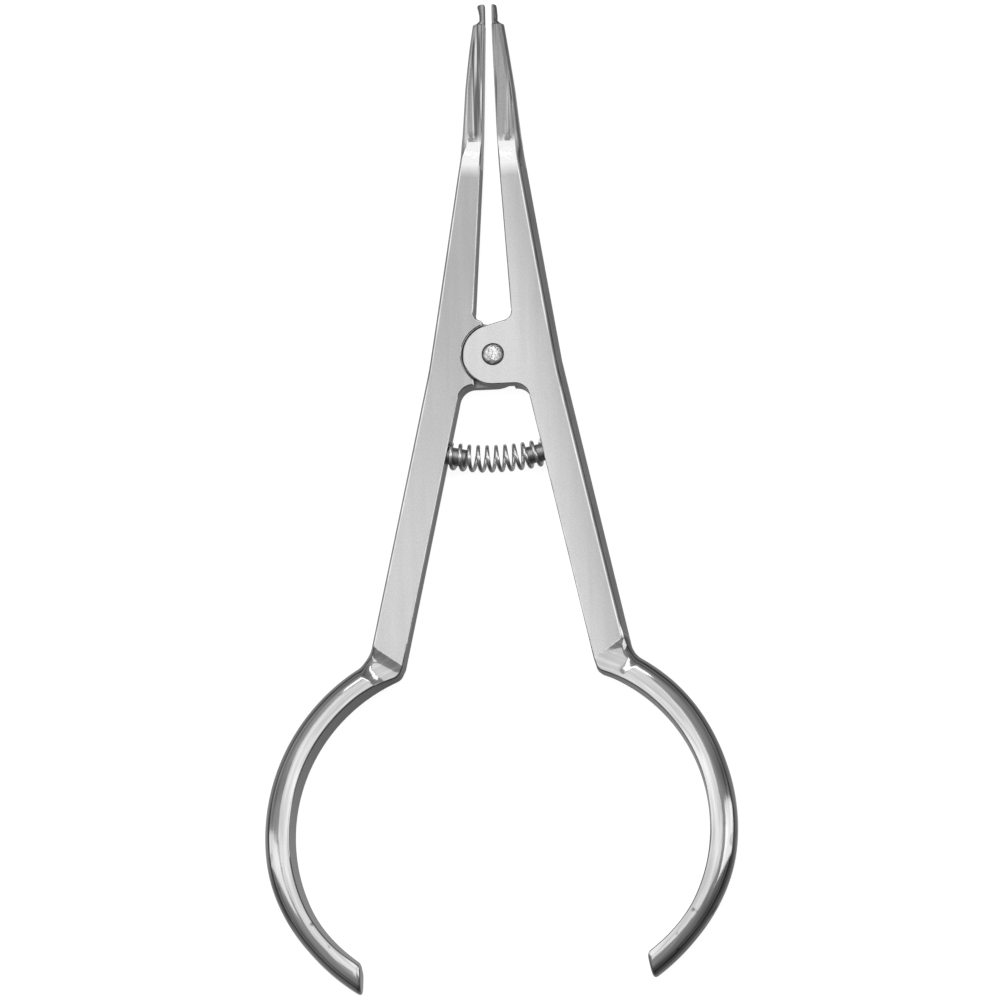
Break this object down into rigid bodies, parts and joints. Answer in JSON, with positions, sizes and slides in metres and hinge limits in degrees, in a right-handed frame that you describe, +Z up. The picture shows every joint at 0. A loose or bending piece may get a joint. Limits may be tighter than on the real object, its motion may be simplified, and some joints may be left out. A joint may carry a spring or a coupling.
{
  "type": "spring-opened placing pliers",
  "caption": "Slim steel placing pliers: hooked tips that open when the bowed handles are squeezed, a lap joint on one rivet, and a coil return spring on two pegs.",
  "frame": {"origin": "middle of the tool's length and width, on the plane that the flat sides of the handles lie on", "axes": "+Y towards the tips, +X towards the right arm seen from the front, +Z out of the front face, so the tool lies flat with +Z up"},
  "size_m": [0.0698, 0.1491, 0.0048],
  "materials": {
    "arm_steel": "satin flat faces, bright polished noses and handles",
    "rivet_steel": "polished, hammered head",
    "peg_steel": "turned, dull",
    "spring_wire": "drawn wire, bright"
  },
  "bodies": {
    "left_half": {"left_arm": "arm_steel", "pivot_rivet": "rivet_steel", "left_spring_peg": "peg_steel", "return_spring": "spring_wire"},
    "right_half": {"right_arm": "arm_steel", "right_spring_peg": "peg_steel"}
  },
  "joints": [
    {"name": "pivot", "type": "hinge", "parent": "left_half", "child": "right_half", "pos_m": [0, 0.02139, 0.0024], "axis": [0, 0, -1], "range_deg": [0, 18], "stiffness_Nm_per_rad": 0.5, "springref_deg": -17.19, "deforming": ["return_spring"]}
  ]
}
